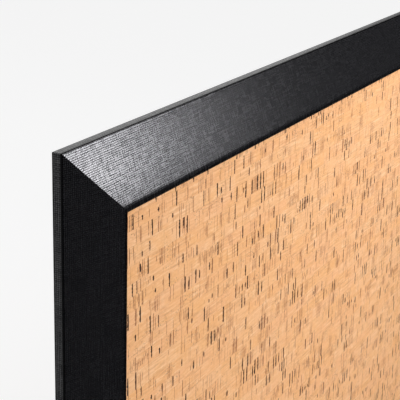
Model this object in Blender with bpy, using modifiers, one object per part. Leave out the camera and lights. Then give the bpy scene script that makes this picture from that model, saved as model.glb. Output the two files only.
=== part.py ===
"""Framed cork bulletin board: a mitred, wedge-section frame round a cork face, a softboard core
and a hardboard back, with the joinery, hangers and bumpers that sit behind.

Metres, +Z up. The cork faces -Y. The origin is the centre of the board on the wall plane, which
is where the four bumpers touch the wall.
"""

import math

import bmesh
import bpy
from mathutils import Matrix, Vector

# Overall sizes
BOARD_WIDTH = 0.900
BOARD_HEIGHT = 0.600

# Frame moulding, as a section: "in" runs from the outer edge towards the cork, "up" from the
# moulding's back towards the room
FRAME_WIDTH = 0.038
OUTER_EDGE = 0.0055
LIP_WIDTH = 0.0038
LIP_ANGLE = math.radians(10)
LIP_RADIUS = 0.0010
LIP_WALL = 0.0026
REBATE_WIDTH = 0.0060
MITRE_GAP = 0.0003

# Sheets that fill the rebate, from the front
CORK_THICK = 0.0025
CORE_THICK = 0.0070
BACK_THICK = 0.0025
SHEET_PLAY = 0.0010
SEAT_GAP = 0.0003

# Framer's points that hold the sheets in
POINT_WIDTH = 0.0080
POINT_THICK = 0.0008
POINT_LENGTH = 0.0150
POINT_BITE = 0.0055
POINT_TIP = 0.0030
POINT_WALL = 0.0013
POINTS_LONG_RAIL = 4
POINTS_SHORT_RAIL = 2

# V-nails across the mitres
NAIL_LEG = 0.0070
NAIL_THICK = 0.0008
NAIL_HEIGHT = 0.0050
NAIL_ANGLE = math.radians(50)
NAIL_FROM_EDGE = 0.009
NAIL_FROM_REBATE = 0.011

# Hangers on the back of the stiles
HANGER_DROP = 0.130
STRAP_WIDTH = 0.0100
STRAP_THICK = 0.0008
STRAP_END = 0.0050
STRAP_TIP_FLAT = 0.0010
RING_WIRE = 0.0022
RING_HALF_WIDTH = 0.0100
RING_SIDE = 0.0130
RING_CORNER = 0.0025
RING_PLAY = 0.0002
SCREW_DROP = 0.0075
SCREW_SHANK = 0.0032
SCREW_LENGTH = 0.0090
SCREW_HEAD = 0.0062
SCREW_HEAD_HIGH = 0.0019
RECESS_WIDTH = 0.0008
RECESS_LENGTH = 0.0034
RECESS_DEPTH = 0.0012

# Bumpers, which keep the hangers clear of the wall
WALL_CLEAR = 0.0005
BUMPER_RADIUS = 0.0065
BUMPER_TAPER = 0.0012
BUMPER_ROUND = 0.0010
BUMPER_ALONG = 0.060

# Clearance between pieces that touch in the real board, and how far a cutter runs past a face
GAP = 0.0003
PAST = 0.0010
SMOOTH_ANGLE = math.radians(40)

# Heights in the section: the points, then the three sheets, then the moulding's slope over them
POINT_UP = POINT_WALL + GAP + POINT_THICK / 2
BACK_UP = POINT_UP + POINT_THICK / 2 + GAP
CORE_UP = BACK_UP + BACK_THICK + SEAT_GAP
CORK_UP = CORE_UP + CORE_THICK + SEAT_GAP
REBATE_DEPTH = CORK_UP + CORK_THICK + SEAT_GAP
REBATE_WALL = FRAME_WIDTH - REBATE_WIDTH
SLOPE_RUN = FRAME_WIDTH - LIP_WIDTH
SLOPE_RISE = (REBATE_DEPTH + LIP_WALL - OUTER_EDGE) * SLOPE_RUN / REBATE_WALL

BARREL_RADIUS = RING_WIRE / 2 + RING_PLAY + STRAP_THICK
BUMPER_HIGH = GAP + 2 * BARREL_RADIUS + WALL_CLEAR
FRAME_BACK_Y = -BUMPER_HIGH
STRAP_BACK_Y = FRAME_BACK_Y + GAP
STRAP_LENGTH = SCREW_DROP + STRAP_END
NAIL_SLOT = NAIL_HEIGHT + 2 * GAP + PAST
MIDDLE_IN = REBATE_WALL / 2


def clear_scene():
    for thing in list(bpy.data.objects):
        bpy.data.objects.remove(thing, do_unlink=True)


def new_collection(name, hidden=False):
    made = bpy.data.collections.new(name)
    made.hide_render = hidden
    bpy.context.scene.collection.children.link(made)
    return made


def principled(name, colour, roughness, metallic=0.0):
    material = bpy.data.materials.new(name)
    material.use_nodes = True
    shader = material.node_tree.nodes["Principled BSDF"]
    shader.inputs["Base Color"].default_value = (*colour, 1.0)
    shader.inputs["Roughness"].default_value = roughness
    shader.inputs["Metallic"].default_value = metallic
    material.diffuse_color = (*colour, 1.0)
    return material


clear_scene()
PARTS = new_collection("cork_bulletin_board")
CUTTERS = new_collection("cutters", hidden=True)


def add_piece(name, mesh, material):
    """A visible sub-part with its own material, smooth where its faces nearly line up."""
    mesh.name = name
    mesh.materials.clear()
    mesh.materials.append(material)
    mesh.shade_smooth()
    mesh.set_sharp_from_angle(angle=SMOOTH_ANGLE)
    piece = bpy.data.objects.new(name, mesh)
    PARTS.objects.link(piece)
    return piece


def add_cutter(name, mesh, matrix):
    """A hidden solid that is cut away from its neighbours."""
    cutter = bpy.data.objects.new(name, mesh)
    cutter.hide_render = True
    cutter.display_type = "WIRE"
    cutter.matrix_world = matrix
    CUTTERS.objects.link(cutter)
    return cutter


def cut(piece, cutter):
    modifier = piece.modifiers.new(f"cut {cutter.name}", "BOOLEAN")
    modifier.operation = "DIFFERENCE"
    modifier.solver = "EXACT"
    modifier.object = cutter


def box_mesh(size):
    body = bmesh.new()
    bmesh.ops.create_cube(body, size=1.0, matrix=Matrix.Diagonal((*size, 1.0)))
    return mesh_of(body)


def cylinder_mesh(radius, depth, sides=24):
    body = bmesh.new()
    bmesh.ops.create_cone(
        body, cap_ends=True, segments=sides, radius1=radius, radius2=radius, depth=depth
    )
    return mesh_of(body)


def mesh_of(body):
    mesh = bpy.data.meshes.new("mesh")
    bmesh.ops.recalc_face_normals(body, faces=body.faces)
    body.to_mesh(mesh)
    body.free()
    return mesh


def mesh_from_curve(curve):
    """The curve's solid as a mesh with its caps welded on."""
    guide = bpy.data.objects.new("guide", curve)
    bpy.context.scene.collection.objects.link(guide)
    graph = bpy.context.evaluated_depsgraph_get()
    raw = bpy.data.meshes.new_from_object(guide.evaluated_get(graph))
    bpy.data.objects.remove(guide)
    body = bmesh.new()
    body.from_mesh(raw)
    bpy.data.meshes.remove(raw)
    bmesh.ops.remove_doubles(body, verts=body.verts, dist=1e-6)
    return mesh_of(body)


def extruded_mesh(outlines, depth):
    """A flat outline, with any holes after it, thickened by depth about its own plane."""
    curve = bpy.data.curves.new("outline", "CURVE")
    curve.dimensions = "2D"
    curve.fill_mode = "BOTH"
    curve.extrude = depth / 2
    for outline in outlines:
        spline = curve.splines.new("POLY")
        spline.points.add(len(outline) - 1)
        for point, (x, y) in zip(spline.points, outline):
            point.co = (x, y, 0.0, 1.0)
        spline.use_cyclic_u = True
    return mesh_from_curve(curve)


def arc(centre, radius, start, end, steps):
    """Points on a circle from angle start to angle end."""
    turns = [start + (end - start) * i / steps for i in range(steps + 1)]
    return [
        (centre[0] + radius * math.cos(a), centre[1] + radius * math.sin(a)) for a in turns
    ]


def turned(name, profile, material, steps=24):
    """A profile of (radius, height) points, from the top axis point down its outer side, spun."""
    mesh = bpy.data.meshes.new(name)
    points = [(radius, 0.0, height) for radius, height in profile]
    edges = [(i, i + 1) for i in range(len(points) - 1)]
    mesh.from_pydata(points, edges, [])
    piece = add_piece(name, mesh, material)
    spin = piece.modifiers.new("spin", "SCREW")
    spin.steps = steps
    spin.render_steps = steps
    spin.use_merge_vertices = True
    spin.merge_threshold = 0.0001
    spin.use_smooth_shade = True
    return piece


# ---------------------------------------------------------------- frame

# Each side of the frame: the direction towards the cork, its outer length, and half the board's
# size across it
SIDES = {
    "top_rail": (Vector((0, 0, -1)), BOARD_WIDTH, BOARD_HEIGHT / 2),
    "bottom_rail": (Vector((0, 0, 1)), BOARD_WIDTH, BOARD_HEIGHT / 2),
    "left_stile": (Vector((1, 0, 0)), BOARD_HEIGHT, BOARD_WIDTH / 2),
    "right_stile": (Vector((-1, 0, 0)), BOARD_HEIGHT, BOARD_WIDTH / 2),
}
TOWARDS_ROOM = Vector((0, -1, 0))


def side_matrix(inward, half_across):
    """Takes (in, up, along) of one side to the board: "in" from its outer edge, "up" to the room."""
    along = inward.cross(TOWARDS_ROOM)
    corner = -inward * half_across + Vector((0, FRAME_BACK_Y, 0))
    turn = Matrix((inward, TOWARDS_ROOM, along)).transposed()
    return Matrix.Translation(corner) @ turn.to_4x4()


def moulding_outline():
    """The section: back, outer edge, long slope, tilted lip, rounded inner edge, rebate."""
    slope_top = OUTER_EDGE + SLOPE_RISE
    arc_in = FRAME_WIDTH - LIP_RADIUS
    tangent_in = arc_in - LIP_RADIUS * math.sin(LIP_ANGLE)
    tangent_up = slope_top + (tangent_in - SLOPE_RUN) * math.tan(LIP_ANGLE)
    centre = (arc_in, tangent_up - LIP_RADIUS * math.cos(LIP_ANGLE))
    edge = arc(centre, LIP_RADIUS, math.pi / 2 + LIP_ANGLE, 0.0, 5)
    front = [(0.0, 0.0), (0.0, OUTER_EDGE), (SLOPE_RUN, slope_top)]
    back = [(FRAME_WIDTH, REBATE_DEPTH), (REBATE_WALL, REBATE_DEPTH), (REBATE_WALL, 0.0)]
    return front + edge + back


def mitred_mesh(length):
    """The moulding at full length with both ends cut at 45 degrees to its outer corners."""
    straight = extruded_mesh([moulding_outline()], length)
    body = bmesh.new()
    body.from_mesh(straight)
    bpy.data.meshes.remove(straight)
    for end in (-1, 1):
        normal = Vector((1, 0, end)).normalized()
        corner = Vector((0, 0, end * length / 2)) - normal * MITRE_GAP / 2
        bmesh.ops.bisect_plane(
            body,
            geom=body.verts[:] + body.edges[:] + body.faces[:],
            plane_co=corner,
            plane_no=normal,
            clear_outer=True,
        )
        rim = [edge for edge in body.edges if edge.is_boundary]
        bmesh.ops.holes_fill(body, edges=rim)
    return mesh_of(body)


def make_frame():
    finish = principled("frame_foil", (0.012, 0.012, 0.013), 0.5)
    for name, (inward, length, half_across) in SIDES.items():
        side = add_piece(name, mitred_mesh(length), finish.copy())
        side.matrix_world = side_matrix(inward, half_across)
    bpy.data.materials.remove(finish)


# ---------------------------------------------------------------- sheets


def make_sheet(name, up, thick, colour, roughness):
    width = BOARD_WIDTH - 2 * (REBATE_WALL + SHEET_PLAY)
    height = BOARD_HEIGHT - 2 * (REBATE_WALL + SHEET_PLAY)
    sheet = add_piece(name, box_mesh((width, thick, height)), principled(name, colour, roughness))
    sheet.location = (0.0, FRAME_BACK_Y - up - thick / 2, 0.0)


def make_sheets():
    make_sheet("cork_sheet", CORK_UP, CORK_THICK, (0.78, 0.41, 0.20), 0.85)
    make_sheet("softboard_core", CORE_UP, CORE_THICK, (0.46, 0.32, 0.19), 0.95)
    make_sheet("backing_panel", BACK_UP, BACK_THICK, (0.16, 0.08, 0.04), 0.6)


# ---------------------------------------------------------------- joinery


def v_outline(leg, thick, angle):
    """A V of two legs that open from the origin towards +X, each at the angle from it."""
    tip = thick / 2 / math.sin(angle)
    reach = (leg * math.cos(angle), leg * math.sin(angle))
    across = (thick / 2 * math.sin(angle), -thick / 2 * math.cos(angle))
    upper_in = (reach[0] + across[0], reach[1] + across[1])
    upper_out = (reach[0] - across[0], reach[1] - across[1])
    return [
        (tip, 0.0),
        upper_in,
        upper_out,
        (-tip, 0.0),
        (upper_out[0], -upper_out[1]),
        (upper_in[0], -upper_in[1]),
    ]


def make_v_nails():
    """Two nails on each mitre, their legs one in each side, and the slots that they fill."""
    slot_outline = v_outline(NAIL_LEG + GAP, NAIL_THICK + 2 * GAP, NAIL_ANGLE)
    slot_mesh = extruded_mesh([slot_outline], NAIL_SLOT)
    for sx, side in ((-1, "left"), (1, "right")):
        for sz, level, rail in ((1, "top", "top_rail"), (-1, "bottom", "bottom_rail")):
            corner = Vector((sx * BOARD_WIDTH / 2, FRAME_BACK_Y, sz * BOARD_HEIGHT / 2))
            inward = Vector((-sx, 0, -sz)).normalized()
            turn = Matrix((inward, TOWARDS_ROOM.cross(inward), TOWARDS_ROOM)).transposed()
            for number, place in enumerate((NAIL_FROM_EDGE, REBATE_WALL - NAIL_FROM_REBATE), 1):
                at = corner + inward * place * math.sqrt(2)
                name = f"v_nail_{level}_{side}_{number}"
                steel = principled(name, (0.55, 0.55, 0.56), 0.35, 1.0)
                mesh = extruded_mesh([v_outline(NAIL_LEG, NAIL_THICK, NAIL_ANGLE)], NAIL_HEIGHT)
                nail = add_piece(name, mesh, steel)
                middle = at + TOWARDS_ROOM * (GAP + NAIL_HEIGHT / 2)
                nail.matrix_world = Matrix.Translation(middle) @ turn.to_4x4()
                slot_middle = at + TOWARDS_ROOM * (NAIL_SLOT / 2 - PAST)
                place_slot = Matrix.Translation(slot_middle) @ turn.to_4x4()
                slot = add_cutter(f"slot_{name}", slot_mesh, place_slot)
                cut(PARTS.objects[rail], slot)
                cut(PARTS.objects[f"{side}_stile"], slot)


def point_places(length, count):
    """Evenly spread places along a side, half a step in from the sheet's corners."""
    clear = length - 2 * FRAME_WIDTH
    return [clear * ((i + 0.5) / count - 0.5) for i in range(count)]


def make_points():
    """Flat points driven into the rebate wall behind the hardboard, and their slots."""
    tip_in = REBATE_WALL - POINT_BITE
    heel_in = tip_in + POINT_LENGTH
    half = POINT_WIDTH / 2
    outline = [
        (tip_in, 0.0),
        (tip_in + POINT_TIP, -half),
        (heel_in, -half),
        (heel_in, half),
        (tip_in + POINT_TIP, half),
    ]
    slot_size = (POINT_BITE + GAP + PAST, POINT_THICK + 2 * GAP, POINT_WIDTH + 2 * GAP)
    slot_in = REBATE_WALL + PAST - slot_size[0] / 2
    slot_mesh = box_mesh(slot_size)
    lay_flat = Matrix.Rotation(math.pi / 2, 4, "X")
    for side_name, (inward, length, half_across) in SIDES.items():
        count = POINTS_LONG_RAIL if inward.x == 0 else POINTS_SHORT_RAIL
        for number, along in enumerate(point_places(length, count), 1):
            name = f"point_{side_name.split('_')[0]}_{number}"
            place = side_matrix(inward, half_across) @ Matrix.Translation((0, POINT_UP, along))
            steel = principled(name, (0.60, 0.60, 0.60), 0.35, 1.0)
            point = add_piece(name, extruded_mesh([outline], POINT_THICK), steel)
            point.matrix_world = place @ lay_flat
            slot_place = place @ Matrix.Translation((slot_in, 0, 0))
            slot = add_cutter(f"slot_{name}", slot_mesh, slot_place)
            cut(PARTS.objects[side_name], slot)


# ---------------------------------------------------------------- hangers


def strap_mesh():
    """A plate whose top is rolled into a barrel round the ring's bar, with a rounded lower end.

    The outline lies in (out of the board, up), with the barrel's centre level with the origin.
    """
    barrel = (BARREL_RADIUS, 0.0)
    meets = math.pi + math.acos((BARREL_RADIUS - STRAP_THICK) / BARREL_RADIUS)
    outline = [(0.0, -STRAP_LENGTH)]
    outline += arc(barrel, BARREL_RADIUS, math.pi, meets - 2 * math.pi, 20)
    outline += [(STRAP_THICK, -STRAP_LENGTH)]
    bore = arc(barrel, RING_WIRE / 2 + RING_PLAY, 0.0, 2 * math.pi, 20)[:-1]
    mesh = extruded_mesh([outline, bore], STRAP_WIDTH)
    body = bmesh.new()
    body.from_mesh(mesh)
    bpy.data.meshes.remove(mesh)
    tips = [
        edge
        for edge in body.edges
        if all(abs(v.co.y + STRAP_LENGTH) < 1e-6 for v in edge.verts)
        and abs(edge.verts[0].co.z - edge.verts[1].co.z) < 1e-6
    ]
    rounding = (STRAP_WIDTH - STRAP_TIP_FLAT) / 2
    bmesh.ops.bevel(body, geom=tips, offset=rounding, segments=6, profile=0.5, affect="EDGES")
    return mesh_of(body)


def ring_curve():
    """A closed D of round wire that hangs from its bar: bar, two sides and a half-round bow."""
    half = RING_HALF_WIDTH
    points = arc((half - RING_CORNER, -RING_CORNER), RING_CORNER, math.pi / 2, 0.0, 4)
    points += arc((0.0, -RING_SIDE), half, 0.0, -math.pi, 16)
    points += arc((RING_CORNER - half, -RING_CORNER), RING_CORNER, math.pi, math.pi / 2, 4)
    curve = bpy.data.curves.new("ring", "CURVE")
    curve.dimensions = "3D"
    curve.bevel_depth = RING_WIRE / 2
    curve.bevel_resolution = 2
    spline = curve.splines.new("POLY")
    spline.points.add(len(points) - 1)
    for point, (x, z) in zip(spline.points, points):
        point.co = (x, 0.0, z, 1.0)
    spline.use_cyclic_u = True
    return curve


def screw_profile():
    """A pan head on a plain shank with a point, from the top of the head down."""
    head = SCREW_HEAD / 2
    shank = SCREW_SHANK / 2
    dome = [
        (head * math.sin(a), SCREW_HEAD_HIGH * (0.35 + 0.65 * math.cos(a)))
        for a in (math.pi / 2 * i / 5 for i in range(6))
    ]
    tail = [(shank, 0.0), (shank, -SCREW_LENGTH + SCREW_SHANK), (0.0, -SCREW_LENGTH)]
    return dome + [(head, 0.0)] + tail


def make_hanger(side, sign):
    """One strap hanger: its strap, the ring that swings in it, and its screw."""
    x = sign * (BOARD_WIDTH / 2 - MIDDLE_IN)
    z = BOARD_HEIGHT / 2 - HANGER_DROP
    stile = PARTS.objects[f"{side}_stile"]
    zinc = (0.62, 0.62, 0.60)

    name = f"{side}_hanger_strap"
    strap = add_piece(name, strap_mesh(), principled(name, zinc, 0.3, 1.0))
    turn = Matrix(((0, 0, 1), (1, 0, 0), (0, 1, 0)))
    strap.matrix_world = Matrix.Translation((x, STRAP_BACK_Y, z)) @ turn.to_4x4()

    name = f"{side}_hanger_ring"
    ring = add_piece(name, mesh_from_curve(ring_curve()), principled(name, zinc, 0.25, 1.0))
    ring.location = (x, STRAP_BACK_Y + BARREL_RADIUS, z)

    name = f"{side}_hanger_screw"
    screw = turned(name, screw_profile(), principled(name, zinc, 0.3, 1.0))
    screw.location = (x, STRAP_BACK_Y + STRAP_THICK + GAP, z - SCREW_DROP)
    screw.rotation_euler = (-math.pi / 2, 0.0, 0.0)
    recess = box_mesh((RECESS_WIDTH, 2 * RECESS_DEPTH, RECESS_LENGTH))
    head_top = screw.location + Vector((0, SCREW_HEAD_HIGH, 0))
    for number, tilt in enumerate((0.0, math.pi / 2)):
        place = Matrix.Translation(head_top) @ Matrix.Rotation(tilt, 4, "Y")
        cut(screw, add_cutter(f"{side}_recess_{number}", recess, place))

    hole_radius = SCREW_SHANK / 2 + GAP
    reach = SCREW_LENGTH + 2 * PAST
    bore = cylinder_mesh(hole_radius, reach)
    middle = Vector((x, screw.location.y - SCREW_LENGTH - GAP + reach / 2, z - SCREW_DROP))
    place = Matrix.Translation(middle) @ Matrix.Rotation(math.pi / 2, 4, "X")
    bore_cutter = add_cutter(f"{side}_screw_hole", bore, place)
    cut(strap, bore_cutter)
    cut(stile, bore_cutter)


# ---------------------------------------------------------------- bumpers


def make_bumpers():
    """Tapered rubber pads, flat on the wall side."""
    top = BUMPER_RADIUS - BUMPER_TAPER
    rounded = arc(
        (top - BUMPER_ROUND, BUMPER_HIGH - BUMPER_ROUND), BUMPER_ROUND, math.pi / 2, 0.0, 3
    )
    profile = [(0.0, BUMPER_HIGH)] + rounded + [(BUMPER_RADIUS, GAP), (0.0, GAP)]
    for sx, side in ((-1, "left"), (1, "right")):
        for sz, level in ((1, "top"), (-1, "bottom")):
            name = f"bumper_{level}_{side}"
            bumper = turned(name, profile, principled(name, (0.02, 0.02, 0.02), 0.8), steps=28)
            x = sx * (BOARD_WIDTH / 2 - BUMPER_ALONG)
            z = sz * (BOARD_HEIGHT / 2 - MIDDLE_IN)
            bumper.location = (x, FRAME_BACK_Y, z)
            bumper.rotation_euler = (-math.pi / 2, 0.0, 0.0)


make_frame()
make_sheets()
make_v_nails()
make_points()
make_hanger("left", -1)
make_hanger("right", 1)
make_bumpers()
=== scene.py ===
"""Looks for a framed cork bulletin board: foil-wrapped mouldings, laminated cork, the boards behind
it, its joinery, hangers and bumpers, and a plain studio round it.

Laid out as an add-on and run as a script. Every length is in metres, in the board's own frame:
+X to the right as seen from the front, +Y into the wall, +Z up.
"""

import math

import bpy
import numpy as np
from bpy.props import FloatProperty, FloatVectorProperty, IntProperty, PointerProperty
from bpy.types import NodeSocket, Operator, Panel, PropertyGroup
from mathutils import Matrix, Vector
from mathutils.geometry import convex_hull_2d


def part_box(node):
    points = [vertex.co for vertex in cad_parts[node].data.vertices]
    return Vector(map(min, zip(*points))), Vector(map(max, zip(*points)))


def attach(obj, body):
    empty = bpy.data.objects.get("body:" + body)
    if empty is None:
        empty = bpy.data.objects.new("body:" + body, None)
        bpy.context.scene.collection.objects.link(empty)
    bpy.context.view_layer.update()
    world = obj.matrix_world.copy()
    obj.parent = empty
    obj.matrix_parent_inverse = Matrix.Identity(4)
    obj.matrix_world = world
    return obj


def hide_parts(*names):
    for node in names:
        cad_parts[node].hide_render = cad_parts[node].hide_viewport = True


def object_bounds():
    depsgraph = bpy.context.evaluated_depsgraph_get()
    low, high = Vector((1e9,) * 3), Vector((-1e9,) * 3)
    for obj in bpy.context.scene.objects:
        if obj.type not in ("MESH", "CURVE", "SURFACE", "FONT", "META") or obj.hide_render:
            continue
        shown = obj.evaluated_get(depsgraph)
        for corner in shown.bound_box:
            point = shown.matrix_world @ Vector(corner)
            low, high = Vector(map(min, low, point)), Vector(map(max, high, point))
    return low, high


bl_info = {
    "name": "Cork Bulletin Board",
    "version": (1, 0, 0),
    "blender": (4, 5, 0),
    "location": "View3D > Sidebar > Cork Board",
    "description": "Builds the finished look of a framed cork bulletin board",
    "category": "Add Mesh",
}

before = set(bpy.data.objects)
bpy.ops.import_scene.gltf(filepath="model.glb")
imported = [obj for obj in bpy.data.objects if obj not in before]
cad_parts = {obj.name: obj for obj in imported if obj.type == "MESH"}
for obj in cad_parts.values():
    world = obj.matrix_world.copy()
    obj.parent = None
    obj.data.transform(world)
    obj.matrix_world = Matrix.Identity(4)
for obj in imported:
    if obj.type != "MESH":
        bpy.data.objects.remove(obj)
CAD_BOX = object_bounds()

MM = 0.001
BODY = "board"
RAILS = {
    "top_rail": Vector((0, 0, -1)),
    "bottom_rail": Vector((0, 0, 1)),
    "left_stile": Vector((1, 0, 0)),
    "right_stile": Vector((-1, 0, 0)),
}
SIDES = ("left", "right")
TOWARDS_ROOM = Vector((0, -1, 0))
MITRE_HALF_GAP = 0.15 * MM
FOIL_HALF_GAP = 0.03 * MM
INNER_FOLD_SHARE = 0.15
FOLD_STEPS = 6
FOIL_STATIONS = 25
RING_BEND_POINTS = 9
RING_BOW_POINTS = 49
BUMPER_COLUMNS = 56
FLOOR_RINGS = (1.0, 3.0, 9.0, 24.0)
FLOOR_COLUMNS = 64
FLOOR_GAP = 0.2 * MM
# Where what glossy faces see turns bright: Y on the floor, and the Y of a direction in the world
FLOOR_FADE = (-0.3, 0.3)
WORLD_FADE = (0.22, 0.42)
# Degrees round from the front towards +X, degrees above level, metres away; width and height
SOFTBOX_PLACE, SOFTBOX_SIZE = (47.0, 12.5, 0.8), (0.30, 0.23)
REAR_LIGHT_PLACE, REAR_LIGHT_SIZE = (215.0, 40.0, 2.4), (1.2, 1.2)
WHITE = (1.0, 1.0, 1.0)

# How often each of the cork's patterns repeats in a metre, along X, Y and Z
CORK_PATTERNS = {
    "strip drift": (0.0, 0.0, 38.0),
    "blotches": (48.0, 1.0, 90.0),
    "flecks": (170.0, 1.0, 60.0),
    "waves": (14.0, 1.0, 60.0),
    "layer patches": (30.0, 1.0, 70.0),
    "mottle": (420.0, 1.0, 800.0),
    "speckles": (620.0, 1.0, 1100.0),
    "speckle patches": (52.0, 1.0, 85.0),
}


# ---------------- sizes and colours


def number(name, default, description, **limits):
    return FloatProperty(name=name, description=description, default=default, **limits)


def length(name, default, description):
    return number(name, default, description, min=0.0, unit="LENGTH", precision=5)


def share(name, default, description):
    return number(name, default, description, min=0.0, max=1.0, subtype="FACTOR")


def brightness(name, default, description):
    return number(name, default, description, min=0.0)


def turn(name, degrees, description):
    return number(name, math.radians(degrees), description, subtype="ANGLE")


def colour(name, default, what):
    what = f"Colour of the {what}"
    limits = {"min": 0.0, "max": 1.0, "subtype": "COLOR"}
    return FloatVectorProperty(name=name, description=what, default=default, **limits)


class FoilSettings(PropertyGroup):
    """The black embossed foil round each moulding."""

    thickness: length("Thickness", 0.12 * MM, "Thickness of the foil")
    lift: length("Glue line", 0.02 * MM, "Glue between the moulding and the foil")
    turn_in: length("Turn-in", 8 * MM, "How far the foil is folded onto the moulding's back")
    back_radius: length("Back radius", 0.40 * MM, "Rounding of the outer edge at the back")
    front_radius: length("Front radius", 0.65 * MM, "Rounding of the outer edge at the front")
    crest_radius: length("Crest radius", 9 * MM, "Rounding where the slope meets the lip")
    lip_radius: length("Lip radius", 0.8 * MM, "Rounding of the inner edge")
    thread: length("Thread pitch", 1.1 * MM, "Distance between two threads of the embossed weave")
    emboss: length("Emboss depth", 0.06 * MM, "Depth of the embossed weave")
    # The half width of the painted shade line along each fold of the outer edge.
    shade_line: length("Shade line", 0.75 * MM, "Half the width of the dull line along a folded edge")
    tint: colour("Foil colour", (0.0026, 0.0026, 0.0031), "foil")
    roughness: share("Foil roughness", 0.26, "Roughness of the foil between its threads")


class CorkSettings(PropertyGroup):
    """The laminated cork face."""

    strip: length("Strip height", 9.4 * MM, "Mean height of one cork strip")
    block: length("Block length", 95 * MM, "Mean length of one block in a strip")
    slit_spacing: length("Slit spacing", 4.2 * MM, "Places for wide slits along a strip")
    slit_width: length("Slit width", 2.8 * MM, "Half the width of the widest slit")
    line_spacing: length("Line spacing", 1.8 * MM, "Places for fine lines along a strip")
    line_width: length("Line width", 0.85 * MM, "Half the width of the widest line")
    pale: colour("Pale cork", (0.82, 0.487, 0.246), "palest blocks")
    peach: colour("Peach cork", (0.80, 0.42, 0.20), "pinkest blocks")
    tan: colour("Tan cork", (0.79, 0.405, 0.152), "deepest blocks")
    bright_fleck: colour("Bright fleck", (0.90, 0.59, 0.34), "bright flecks")
    dull_fleck: colour("Dull fleck", (0.66, 0.34, 0.15), "dull flecks")
    pale_layer: colour("Pale layer", (0.96, 0.70, 0.44), "palest growth layers")
    dark_mottle: colour("Dark mottle", (0.60, 0.30, 0.13), "fine dark mottle")
    pale_mottle: colour("Pale mottle", (0.94, 0.64, 0.38), "fine pale mottle")
    speckle: colour("Speckle", (0.28, 0.16, 0.085), "finest specks")
    bark: colour("Bark brown", (0.26, 0.095, 0.036), "shallow slits")
    pit: colour("Pit brown", (0.016, 0.005, 0.003), "deepest slits")


class BackSettings(PropertyGroup):
    """The boards behind the cork and the bare back of the mouldings."""

    fibreboard: colour("Fibreboard", (0.40, 0.25, 0.13), "bare moulding")
    ink: colour("Ink", (0.006, 0.006, 0.007), "blackened mitre faces")
    softboard: colour("Softboard", (0.42, 0.30, 0.18), "pin board's core")
    hardboard: colour("Hardboard", (0.20, 0.105, 0.052), "hardboard's back")
    screen: length("Screen pitch", 1.4 * MM, "Mesh printed into the hardboard's back")


class FittingSettings(PropertyGroup):
    """Steel fittings and rubber bumpers."""

    zinc: colour("Zinc", (0.66, 0.66, 0.64), "zinc-plated steel")
    steel: colour("Steel", (0.56, 0.56, 0.57), "bright steel")
    rubber: colour("Rubber", (0.018, 0.018, 0.019), "bumpers")
    dust: colour("Dust", (0.16, 0.15, 0.14), "dust on the bumpers")
    ring_corner: length("Ring corner", 2.5 * MM, "Bend radius at the ends of a ring's bar")
    wire_sides: IntProperty(
        name="Wire sides", description="Points round a ring's wire", default=20, min=8
    )
    bumper_dish: length("Bumper dish", 0.25 * MM, "Hollow in a bumper's wall face")


class StageSettings(PropertyGroup):
    """Floor, light and camera."""

    floor: colour("Floor", (0.90, 0.90, 0.90), "floor")
    backdrop: share("Backdrop", 0.92, "Brightness of the backdrop, the same as the far floor's")
    daylight: colour("Daylight", (0.96, 0.955, 1.0), "softbox")
    fill: brightness("Fill", 0.61, "Brightness of the soft fill")
    floor_glow: brightness("Floor glow", 0.35, "Brightness that the floor has by itself")
    dark_side: brightness("Dark side", 0.037, "What glossy faces see in front of the board")
    bright_side: brightness("Bright side", 0.85, "What glossy faces see behind the board")
    mirrored_floor: brightness("Mirrored floor", 0.55, "Floor behind the board in glossy faces")
    softbox: brightness("Softbox", 13.5, "Brightness of the softbox's face")
    rear_light: brightness("Rear light", 1.2, "Brightness of the light behind the board")
    lens: number("Lens", 107.0, "Focal length on a 36 mm sensor", subtype="DISTANCE_CAMERA")
    distance: length("Distance", 0.7161, "From the camera to the point it looks at")
    yaw: turn("Yaw", 62.26, "How far the camera is turned to the right")
    pitch: turn("Pitch", 18.42, "How far the camera is tilted down")
    roll: turn("Roll", 1.56, "How far the camera's right side is raised")
    aim_right: length("Aim right", 0.1529, "Aim, to the right of the outer corner")
    aim_down: length("Aim down", 0.0668, "Aim, below the outer corner")


class BoardSettings(PropertyGroup):
    """All the board's sizes and colours."""

    foil: PointerProperty(type=FoilSettings)
    cork: PointerProperty(type=CorkSettings)
    back: PointerProperty(type=BackSettings)
    fittings: PointerProperty(type=FittingSettings)
    stage: PointerProperty(type=StageSettings)


def settings():
    return bpy.context.scene.cork_board


# ---------------- surfaces


def grid_quads(rows, columns):
    """Corner numbers of the quads of a grid whose rows are closed rings, numbered in turn."""
    row = np.arange(rows - 1)[:, None]
    column = np.arange(columns)[None, :]
    right = (column + 1) % columns
    corners = [row * columns + column, row * columns + right]
    corners += [(row + 1) * columns + right, (row + 1) * columns + column]
    return np.stack(np.broadcast_arrays(*corners), axis=-1).reshape(-1, 4)


def facing_out(points, groups):
    """The groups of faces, all turned round if the first group's volume comes out negative."""
    faces = groups[0]
    first = points[faces[:, 0]]
    volume = 0.0
    for i in range(1, faces.shape[1] - 1):
        edge = np.cross(points[faces[:, i]], points[faces[:, i + 1]])
        volume += np.einsum("ij,ij->i", first, edge).sum()
    return groups if volume > 0 else [group[:, ::-1] for group in groups]


def as_points(*axes):
    """One row for each point of a grid, from its values along each axis."""
    return np.stack(np.broadcast_arrays(*axes), axis=-1).reshape(-1, len(axes))


def moved(points, matrix):
    matrix = np.array(matrix)
    return points @ matrix[:3, :3].T + matrix[:3, 3]


def round_angles(count):
    return np.linspace(0, 2 * math.pi, count, endpoint=False)


def new_object(name, data):
    thing = bpy.data.objects.new(name, data)
    bpy.context.scene.collection.objects.link(thing)
    return thing


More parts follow.
